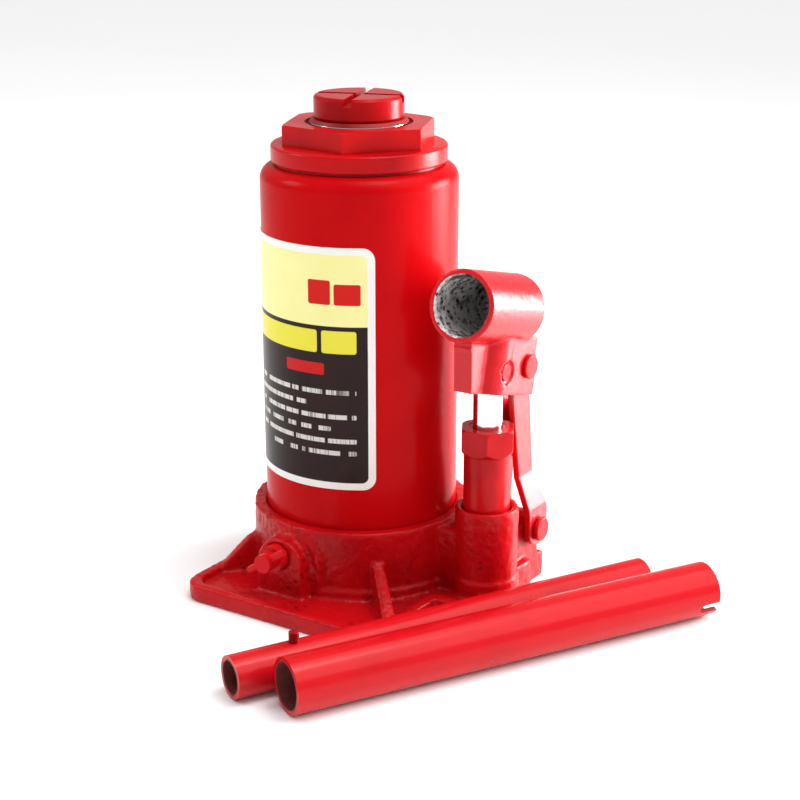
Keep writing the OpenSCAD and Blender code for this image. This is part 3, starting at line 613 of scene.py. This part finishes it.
g.links.new(blur.outputs[0], end.inputs["Roughness"])
g.links.new(rise.outputs[0], end.inputs["Height"])

chrome = skinned_finish("hard_chrome", machined, {"Body": (0.80, 0.80, 0.82, 1),
                        "Shadow": (0.55, 0.53, 0.50, 1), "Lines": 0.5, "Polish": 0.06}, 0.00002, Metallic=1.0)
bright_steel = skinned_finish("bright_steel", machined, {"Body": (0.56, 0.56, 0.57, 1),
                              "Shadow": (0.25, 0.22, 0.18, 1), "Lines": 1.0, "Polish": 0.22},
                              0.00004, Metallic=1.0)
bronze = skinned_finish("turned_bronze", machined, {"Body": (0.62, 0.42, 0.18, 1),
                        "Shadow": (0.30, 0.18, 0.08, 1), "Lines": 1.0, "Polish": 0.25}, 0.00004, Metallic=1.0)
copper = skinned_finish("annealed_copper", machined, {"Body": (0.75, 0.36, 0.22, 1),
                        "Shadow": (0.35, 0.14, 0.08, 1), "Lines": 0.6, "Polish": 0.3}, 0.00004, Metallic=1.0)
urethane = skinned_finish("amber_urethane", rubber_skin, {"Body": (0.22, 0.20, 0.04, 1)}, 0.00004,
                          Coat_Weight=0.3)
for node, finish in (("ram_cylinder", bright_steel), ("cylinder_gasket", copper),
                     ("barrel_gasket", copper), ("piston_ring", bronze), ("screw_stop_ring", bright_steel)):
    coat_with(frame["nodes"][node], finish)

ram = turned("ram", [(12, 21.2), (12, 22.6), (11, 22.6), (11, 23.8), (12, 23.8), (12, 33.2), (20, 33.2),
                     (20, 192.2), (19.0, 193.7), (14.0, 193.7), (13.08, 192.8), (13.08, 101.7),
                     (6, 101.7)], 128, 0.0002)
coat_with(ram, chrome)
# the top of the ram under the saddle head takes red overspray, darkened well below the other enamel as
# painted shade of the gap under the head
overspray, tree, shader = new_finish("ram_end_overspray_and_shade", Specular_IOR_Level=0.3, Roughness=0.45)
place = put(tree, "ShaderNodeTexCoord").outputs["Object"]
film = use_group(tree, enamel_film, {"Place": place, "Body": (0.30, 0.004, 0.006, 1),
                                     "Pooled": (0.05, 0.002, 0.003, 1), "Peel": 1.4})
tree.links.new(film.outputs["Colour"], shader.inputs["Base Color"])
tree.links.new(put(tree, "ShaderNodeBump", {"Strength": 0.5, "Distance": 0.0001,
                                            "Height": film.outputs["Height"]}).outputs[0],
               shader.inputs["Normal"])
ram.data.materials.append(overspray)
for face in ram.data.polygons:
    if face.center.z > 0.1922 and math.hypot(face.center.x, face.center.y) > 0.0135:
        face.material_index = 1
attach(ram, "ram")
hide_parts("ram")
cup = turned("piston_cup", [(12.02, 23.85), (22.3, 23.85), (22.46, 24.6), (22.46, 28.15), (12.02, 28.15),
                            (12.02, 23.85)], 96, 0.0004)
coat_with(cup, urethane)
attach(cup, "ram")
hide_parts("piston_seal")


def open_ring(name, inner, outer, low, high, gap, turn, soft=0.00012, middle=(0, 0, 0), lie=(0, 0, 0)):
    """A stamped spring-steel ring with a gap, as a circlip has."""
    clip = turned(name, [(inner, low), (outer, low), (outer, high), (inner, high), (inner, low)], 64, 0)
    bpy.ops.object.select_all(action="DESELECT")
    bpy.ops.mesh.primitive_cube_add(size=1, location=(outer / 1000, 0, (low + high) / 2000))
    slot = bpy.context.object
    slot.scale = (outer / 500 * 0.95, gap / 1000, (high - low) / 500)
    bpy.ops.object.transform_apply(location=True, scale=True)
    cut_away(clip, slot)
    clip.rotation_euler.z = math.radians(turn)
    pick_up(clip)
    bpy.ops.object.transform_apply(rotation=True)
    round_edges(clip, soft)
    lay(clip, lie, middle)
    return clip


circlip = open_ring("piston_circlip", 11.06, 14.8, 22.65, 23.75, 3, 40)
coat_with(circlip, bright_steel)
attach(circlip, "ram")
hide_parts("piston_circlip")

# ---- Extension screw and saddle ----
# Forged and machined in one: a rolled trapezoidal thread that winds out of the ram, and a round
# saddle head with two crossed slots to grip a jacking point, sprayed on top with the jack down.
saddle_enamel = red_finish("saddle_enamel", (0.42, 0.002, 0.004, 1), (0.24, 0.001, 0.003, 1), 1.2, 0.5, 0.08)
head = turned("saddle_head", [(12.0, 193.76), (17.4, 193.76), (18.08, 194.6), (18.08, 201.9), (17.2, 203.0),
                              (4, 203.0)], 96, 0)
slots = []
for turn in (20, 110):
    bpy.ops.object.select_all(action="DESELECT")
    bpy.ops.mesh.primitive_cube_add(size=1, location=(0, 0, 0.205))
    cutter = bpy.context.object
    cutter.scale = (0.05, 0.0034, 0.010)
    cutter.rotation_euler.z = math.radians(turn)
    bpy.ops.object.transform_apply(location=True, rotation=True, scale=True)
    slots.append(cutter)
cut_away(head, *slots)
round_edges(head, 0.00055, 28)
bpy.ops.object.select_all(action="DESELECT")
bpy.ops.mesh.primitive_circle_add(vertices=4, radius=0.001, location=(0, 0, 0), fill_type="NOTHING")
thread = bpy.context.object
thread.name = "screw_thread"
bpy.ops.object.mode_set(mode="EDIT")
bpy.ops.mesh.delete(type="ONLY_FACE")
bpy.ops.mesh.select_all(action="DESELECT")
bpy.ops.object.mode_set(mode="OBJECT")
flank = ((0.0108, 0.0), (0.0108, 0.0014), (0.0130, 0.0021), (0.0130, 0.0043))
for v, (r, z) in zip(thread.data.vertices, flank):
    v.co = (r, 0, 0.1109 + z)
pick_up(thread)
bpy.ops.object.mode_set(mode="EDIT")
bpy.ops.mesh.select_mode(type="EDGE")
bpy.ops.mesh.select_all(action="DESELECT")
bpy.ops.object.mode_set(mode="OBJECT")
for edge in thread.data.edges:
    ends = [thread.data.vertices[k].co for k in edge.vertices]
    edge.select = abs(ends[0].z - ends[1].z) > 0.004
bpy.ops.object.mode_set(mode="EDIT")
bpy.ops.mesh.delete(type="EDGE")
bpy.ops.mesh.select_all(action="SELECT")
bpy.ops.mesh.extrude_edges_move(TRANSFORM_OT_translate={"value": (0, 0, 0)})
bpy.ops.mesh.select_all(action="SELECT")
bpy.ops.mesh.remove_doubles(threshold=0.000001)
bpy.ops.object.mode_set(mode="OBJECT")
work(thread, "SCREW", angle=2 * math.pi, screw_offset=0.005, iterations=16, steps=48, render_steps=48,
     use_merge_vertices=True, merge_threshold=0.00001, axis="Z")
pick_up(thread)
bpy.ops.object.mode_set(mode="EDIT")
bpy.ops.mesh.select_all(action="SELECT")
bpy.ops.mesh.remove_doubles(threshold=0.00001)
bpy.ops.mesh.normals_make_consistent(inside=False)
bpy.ops.object.mode_set(mode="OBJECT")
bpy.ops.object.shade_smooth_by_angle(angle=math.radians(30))
core = turned("screw_core", [(9.5, 107.7), (10.9, 108.7), (10.9, 110.8), (10.9, 189.0), (12.9, 190.0),
                             (12.9, 194.2)], 64, 0.0002)
pick_up(head)
thread.select_set(True)
core.select_set(True)
bpy.ops.object.join()
head.name = head.data.name = "extension_screw"
coat_with(head, saddle_enamel)
head.data.materials.append(bright_steel)
for face in head.data.polygons:
    if face.center.z < 0.1936:
        face.material_index = 1
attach(head, "extension_screw")
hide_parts("extension_screw")

# ---- Pump barrel and plunger ----
# The barrel is turned from hexagon bar and screwed into the boss on a copper seal. The plunger is
# ground, chromed bar, drilled across its rounded head for the pin.
barrel_enamel = red_finish("barrel_enamel", (0.54, 0.004, 0.007, 1), (0.32, 0.002, 0.004, 1), 0.8, 0.35, 0.16)
barrel = turned("pump_barrel", [(9.5, 33), (9.5, 66), (7.6, 66), (7.6, 75.3), (6.05, 75.3), (6.05, 37),
                                (3.2, 37), (3.2, 33), (9.5, 33)], 96, 0.0002)
bpy.ops.object.select_all(action="DESELECT")
bpy.ops.mesh.primitive_cylinder_add(vertices=6, radius=0.0206 / math.sqrt(3), depth=0.011,
                                    location=(0, 0, 0.070))
barrel_hex = bpy.context.object
barrel_hex.rotation_euler.z = math.radians(30)
bpy.ops.object.transform_apply(location=True, rotation=True)
cone = turned("hex_chamfer", [(9.9, 64.4), (11.9, 66.9), (11.9, 74.3), (10.8, 75.6)], 96, 0)
work(barrel_hex, "BOOLEAN", operation="INTERSECT", object=cone, solver="EXACT")
bpy.data.objects.remove(cone)
cut_away(barrel_hex, turned("hex_bore", [(7.6, 60), (7.6, 80)], 64, 0))
round_edges(barrel_hex, 0.0004, 28)
pick_up(barrel)
barrel_hex.select_set(True)
bpy.ops.object.join()
lay(barrel, (0, 0, 0), (61.5, 0, 0))
coat_with(barrel, barrel_enamel)
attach(barrel, "jack_body")
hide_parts("pump_barrel")


def softened(node, name, width, angle=30):
    piece = merged_copy(node, name)
    bpy.ops.object.mode_set(mode="EDIT")
    bpy.ops.mesh.select_all(action="SELECT")
    bpy.ops.mesh.dissolve_limited(angle_limit=math.radians(0.6))
    bpy.ops.object.mode_set(mode="OBJECT")
    round_edges(piece, width, angle)
    return piece


plunger = softened("plunger", "pump_plunger", 0.0003)
coat_with(plunger, chrome)
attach(plunger, "plunger")
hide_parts("plunger")

# ---- Handle socket ----
# A ductile iron casting: a tube for the handle, two cheeks that straddle the plunger and the link,
# and a web under the mouth. Sprayed from outside, so the bore stays scaly and half bare.
tilt = Matrix.Rotation(math.radians(-14), 4, "X")


def in_socket(co):
    return tilt.inverted() @ (co - Vector((61.5, 0, 99.3)))


socket = merged_copy("handle_socket", "handle_socket")
cast_skin(socket, 0.00045, 4)


def socket_share(co):
    local = in_socket(co)
    if abs(local.x) < 6.9 and local.z < 11 and local.y > -9:
        return 0.0
    if math.hypot(local.x, local.z - 24.5) < 12.4:
        return 1.0
    return 0.4


roughen(socket, "bore_scale", 0.0035, 0.0005, socket_share)
bare = socket.data.attributes.new("bare", "FLOAT", "POINT")
for v in socket.data.vertices:
    local = in_socket(v.co * 1000)
    deep = 12.75 - math.hypot(local.x, local.z - 24.5)
    bare.data[v.index].value = max(0.0, min(1.0, deep * 1.3)) * (1.0 if local.y < 13 else 0.0)

socket_enamel, tree, shader = new_finish("socket_enamel", Specular_IOR_Level=0.34, Coat_Roughness=0.06)
place = put(tree, "ShaderNodeTexCoord").outputs["Object"]
film = use_group(tree, enamel_film, {"Place": place, "Body": (0.60, 0.006, 0.011, 1),
                                     "Pooled": (0.40, 0.002, 0.005, 1), "Peel": 1.0})
grain = use_group(tree, sand_grain, {"Place": place, "Grain": 520.0})
inside = put(tree, "ShaderNodeAttribute", attribute_name="bare").outputs["Fac"]
torn = put(tree, "ShaderNodeTexNoise", {"Vector": place, "Scale": 170.0, "Detail": 5.0, "Roughness": 0.65})
edge = sums(tree, torn.outputs[0], ("SUBTRACT", 0.5), ("MULTIPLY", 1.4), ("ADD", inside))
bare_mask = put(tree, "ShaderNodeMapRange", {"Value": edge, "From Min": 0.45, "From Max": 0.6}).outputs[0]
scale_noise = put(tree, "ShaderNodeTexNoise", {"Vector": place, "Scale": 260.0, "Detail": 5.0,
                                               "Roughness": 0.62})
sides = put(tree, "ShaderNodeSeparateXYZ", {0: place})
# in the bore, random scale with spots of soot, painted paler on the tank's side and the bottom where light
# falls in and darker on the other walls: painted light and shade
painted_light_tank_side = put(tree, "ShaderNodeMapRange", {
    "Value": sides.outputs[0], "From Min": 0.0625, "From Max": 0.0525,
    "To Min": -0.07, "To Max": 0.13}).outputs[0]
painted_light_bottom = put(tree, "ShaderNodeMapRange", {
    "Value": sides.outputs[2], "From Min": 0.124, "From Max": 0.113,
    "To Min": -0.03, "To Max": 0.12}).outputs[0]
scale_and_painted_light = sums(tree, scale_noise.outputs[0], ("ADD", painted_light_tank_side), ("ADD", painted_light_bottom))
soot_spots = put(tree, "ShaderNodeTexVoronoi", {"Vector": place, "Scale": 420.0})
soot = put(tree, "ShaderNodeMapRange", {"Value": soot_spots.outputs["Distance"], "From Min": 0.34,
                                        "From Max": 0.16, "To Max": 0.22}).outputs[0]
scale_and_painted_light = sums(tree, scale_and_painted_light, ("SUBTRACT", soot))
scale_ramp = put(tree, "ShaderNodeValToRGB", {0: scale_and_painted_light})
ramp = scale_ramp.color_ramp
ramp.elements[0].position = 0.43
ramp.elements[0].color = (0.015, 0.012, 0.012, 1)
ramp.elements[1].position = 0.66
ramp.elements[1].color = (0.80, 0.77, 0.76, 1)
ramp.elements.new(0.50).color = (0.20, 0.17, 0.16, 1)
dust = put(tree, "ShaderNodeTexNoise", {"Vector": place, "Scale": 420.0, "Detail": 3.0})
overspray = put(tree, "ShaderNodeMapRange", {"Value": dust.outputs[0], "From Min": 0.66, "From Max": 0.74})
scaly = put(tree, "ShaderNodeMix", {0: overspray.outputs[0], 6: scale_ramp.outputs[0],
                                    7: (0.42, 0.02, 0.02, 1)}, data_type="RGBA")
skin = put(tree, "ShaderNodeMix", {0: bare_mask, 6: film.outputs["Colour"], 7: scaly.outputs[2]},
           data_type="RGBA")
tree.links.new(skin.outputs[2], shader.inputs["Base Color"])
dull = put(tree, "ShaderNodeMix", {0: bare_mask, 2: film.outputs["Roughness"], 3: 0.62})
tree.links.new(dull.outputs[0], shader.inputs["Roughness"])
painted = put(tree, "ShaderNodeMapRange", {"Value": bare_mask, "To Min": 0.05, "To Max": 0.0})
tree.links.new(painted.outputs[0], shader.inputs["Coat Weight"])
low = put(tree, "ShaderNodeBump", {"Strength": 0.3, "Distance": 0.0003, "Height": grain.outputs["Height"]})
top = put(tree, "ShaderNodeBump", {"Strength": 0.3, "Distance": 0.00008, "Height": film.outputs["Height"],
                                   "Normal": low.outputs[0]})
tree.links.new(top.outputs[0], shader.inputs["Normal"])
coat_with(socket, socket_enamel)
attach(socket, "handle_socket")
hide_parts("handle_socket")

# ---- Pins ----
# Mild steel pins, cut from bar and headed over: one through the plunger, one through the link eyes,
# one through the lug, kept in by a clip. They were painted with everything else.
pin_enamel = red_finish("pin_enamel", (0.56, 0.006, 0.010, 1), (0.26, 0.002, 0.003, 1), 1.0, 0.5)
for node, name, width, body in (("plunger_pin", "plunger_pin", 0.0006, "handle_socket"),
                                ("link_pin", "link_pin", 0.0007, "handle_socket"),
                                ("lug_pin", "lug_pin", 0.0007, "jack_body")):
    pin = softened(node, name, width)
    coat_with(pin, pin_enamel)
    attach(pin, body)
    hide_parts(node)
clip = open_ring("lug_pin_clip", 3.53, 5.45, 0.52, 1.58, 3, -70, 0.0001, (61.5 - 9.9, 26, 25), (0, -90, 0))
coat_with(clip, bright_steel)
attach(clip, "jack_body")
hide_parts("lug_pin_clip")

# ---- Link ----
# Two pressed steel plates joined by a folded web. They hang the socket from the lug, stepping
# outward at the foot to clear it, with edges rounded by tumbling before paint.
link_enamel = red_finish("link_enamel", (0.60, 0.007, 0.012, 1), (0.42, 0.003, 0.006, 1), 0.9, 0.35, 0.42)
link = merged_copy("link_yoke", "link_yoke")
cast_skin(link, 0.00034, 5)
coat_with(link, link_enamel)
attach(link, "link")
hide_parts("link_yoke")

# ---- Release valve ----
# A screw turned from bar with a cone that presses the ball on its seat, a rubber O-ring in a groove,
# and a thinner stem drilled for the cross pin, which the notched end of the handle turns.
valve_enamel = red_finish("valve_enamel", (0.60, 0.006, 0.011, 1), (0.33, 0.002, 0.004, 1), 1.1, 0.45)
valve = softened("release_screw", "release_screw", 0.0004)
cross_pin = softened("release_cross_pin", "release_cross_pin", 0.0006)
for piece, node in ((valve, "release_screw"), (cross_pin, "release_cross_pin")):
    coat_with(piece, valve_enamel)
    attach(piece, "release_screw")
    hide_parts(node)
bpy.ops.object.select_all(action="DESELECT")
bpy.ops.mesh.primitive_torus_add(major_radius=0.00454, minor_radius=0.00098, major_segments=64,
                                 minor_segments=16, location=(-0.0065, -0.0436, 0.0215),
                                 rotation=(math.radians(90), 0, 0))
o_ring = bpy.context.object
o_ring.name = o_ring.data.name = "release_o_ring"
bpy.ops.object.transform_apply(location=True, rotation=True)
work(o_ring, "SUBSURF", levels=1, render_levels=1)
pick_up(o_ring)
bpy.ops.object.shade_smooth()
coat_with(o_ring, nitrile)
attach(o_ring, "release_seal")
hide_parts("release_oring")

# ---- Balls, springs, plugs and filter ----
# Hardened balls on coined seats make the inlet, outlet, relief and release valves. Coil springs hold
# two of them, screwed plugs close their drillings, and a gauze disc screens the oil.
for node in ("inlet_ball", "outlet_ball", "relief_ball", "release_ball"):
    coat_with(frame["nodes"][node], chrome)
for node, name, width in (("outlet_plug", "outlet_plug", 0.0004), ("relief_screw", "relief_screw", 0.0003)):
    plug = softened(node, name, width)
    coat_with(plug, bright_steel)
    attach(plug, "jack_body")
    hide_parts(node)


def coil(name, wire, mean, pitch, turns, middle, lie):
    """A compression spring wound from round wire, in mm, from its start height upwards."""
    bpy.ops.object.select_all(action="DESELECT")
    bpy.ops.mesh.primitive_circle_add(vertices=12, radius=wire / 1000, location=(mean / 1000, 0, wire / 1000),
                                      rotation=(math.radians(90), 0, 0))
    piece = bpy.context.object
    piece.name = piece.data.name = name
    bpy.ops.object.transform_apply(location=True, rotation=True)
    work(piece, "SCREW", angle=2 * math.pi, screw_offset=pitch / 1000, iterations=turns, steps=32,
         render_steps=32, axis="Z")
    pick_up(piece)
    bpy.ops.object.mode_set(mode="EDIT")
    bpy.ops.mesh.select_all(action="SELECT")
    bpy.ops.mesh.remove_doubles(threshold=0.000001)
    bpy.ops.mesh.select_all(action="DESELECT")
    bpy.ops.mesh.select_non_manifold()
    bpy.ops.mesh.fill_holes(sides=16)
    bpy.ops.mesh.select_all(action="SELECT")
    bpy.ops.mesh.normals_make_consistent(inside=False)
    bpy.ops.object.mode_set(mode="OBJECT")
    bpy.ops.object.shade_smooth_by_angle(angle=math.radians(50))
    lay(piece, lie, middle)
    return piece


for node, name, wire, mean, pitch, turns, middle, lie in (
        ("outlet_spring", "outlet_spring", 0.36, 2.5, 1.2, 3, (36.6, 0, 16), (0, 90, 0)),
        ("relief_spring", "relief_spring", 0.40, 2.1, 1.0, 2, (-16, 14, 5.0), (0, 0, 0))):
    spring = coil(name, wire, mean, pitch, turns, middle, lie)
    coat_with(spring, bright_steel)
    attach(spring, "jack_body")
    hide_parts(node)

gauze, tree, shader = new_finish("brass_gauze", Metallic=1.0)
place = put(tree, "ShaderNodeTexCoord").outputs["Object"]
weft = put(tree, "ShaderNodeTexWave", {"Vector": place, "Scale": 700.0}, bands_direction="X")
warp = put(tree, "ShaderNodeTexWave", {"Vector": place, "Scale": 700.0}, bands_direction="Y")
weave = sums(tree, weft.outputs["Fac"], ("MAXIMUM", warp.outputs["Fac"]))
wire_colour = put(tree, "ShaderNodeMix", {0: weave, 6: (0.05, 0.035, 0.01, 1), 7: (0.72, 0.52, 0.2, 1)},
                  data_type="RGBA")
tree.links.new(wire_colour.outputs[2], shader.inputs["Base Color"])
tree.links.new(put(tree, "ShaderNodeMapRange", {"Value": weave, "To Min": 0.8, "To Max": 0.3}).outputs[0],
               shader.inputs["Roughness"])
tree.links.new(put(tree, "ShaderNodeBump", {"Strength": 0.6, "Distance": 0.0002, "Height": weave}).outputs[0],
               shader.inputs["Normal"])
coat_with(frame["nodes"]["intake_filter"], gauze)

# ---- Handle tubes ----
# Two cold-drawn tubes that make one handle: the small one slides into the large one and its riveted
# stud drops into the notch. Sprayed outside; the bores stay dark with scale and a dusting of paint.
tube_enamel, tree, shader = new_finish("tube_enamel", Specular_IOR_Level=0.2, Coat_Roughness=0.05)
place = put(tree, "ShaderNodeTexCoord").outputs["Object"]
film = use_group(tree, enamel_film, {"Place": place, "Body": (0.50, 0.004, 0.008, 1),
                                     "Pooled": (0.38, 0.002, 0.005, 1), "Peel": 0.7})
inside = put(tree, "ShaderNodeAttribute", attribute_name="bare").outputs["Fac"]
torn = put(tree, "ShaderNodeTexNoise", {"Vector": place, "Scale": 150.0, "Detail": 4.0})
edge = sums(tree, torn.outputs[0], ("SUBTRACT", 0.5), ("MULTIPLY", 0.8), ("ADD", inside))
bare_mask = put(tree, "ShaderNodeMapRange", {"Value": edge, "From Min": 0.42, "From Max": 0.7}).outputs[0]
scale_noise = put(tree, "ShaderNodeTexNoise", {"Vector": place, "Scale": 260.0, "Detail": 5.0})
scaly = put(tree, "ShaderNodeMix", {0: scale_noise.outputs[0], 6: (0.10, 0.012, 0.012, 1),
                                    7: (0.20, 0.05, 0.045, 1)}, data_type="RGBA")
skin = put(tree, "ShaderNodeMix", {0: bare_mask, 6: film.outputs["Colour"], 7: scaly.outputs[2]},
           data_type="RGBA")
tree.links.new(skin.outputs[2], shader.inputs["Base Color"])
dull = put(tree, "ShaderNodeMix", {0: bare_mask, 2: film.outputs["Roughness"], 3: 0.6})
tree.links.new(dull.outputs[0], shader.inputs["Roughness"])
painted = put(tree, "ShaderNodeMapRange", {"Value": bare_mask, "To Min": 0.05, "To Max": 0.0})
tree.links.new(painted.outputs[0], shader.inputs["Coat Weight"])
tree.links.new(put(tree, "ShaderNodeBump", {"Strength": 0.28, "Distance": 0.00006,
                                            "Height": film.outputs["Height"]}).outputs[0],
               shader.inputs["Normal"])

for node, name, start_at, turn, radius, body in (
        ("handle_tube_large", "handle_tube_large", (52.6, -124.2, 10.8), 61.2, 10.8, "handle_large"),
        ("handle_tube_small", "handle_tube_small", (28.4, -126.0, 8.3), 62.6, 8.3, "handle_small")):
    tube = softened(node, name, 0.0004)
    along = Vector((math.cos(math.radians(turn)), math.sin(math.radians(turn)), 0))
    bare = tube.data.attributes.new("bare", "FLOAT", "POINT")
    for v in tube.data.vertices:
        away = v.co * 1000 - Vector(start_at)
        off_axis = (away - along * away.dot(along)).length
        bare.data[v.index].value = 1.0 if off_axis < radius - 1.4 else 0.0
    coat_with(tube, tube_enamel)
    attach(tube, body)
    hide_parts(node)

stud_enamel = red_finish("stud_enamel", (0.26, 0.004, 0.006, 1), (0.10, 0.002, 0.002, 1), 1.0, 0.5)
stud = softened("handle_stud", "handle_stud", 0.0004)
coat_with(stud, stud_enamel)
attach(stud, "handle_small")
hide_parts("handle_stud")
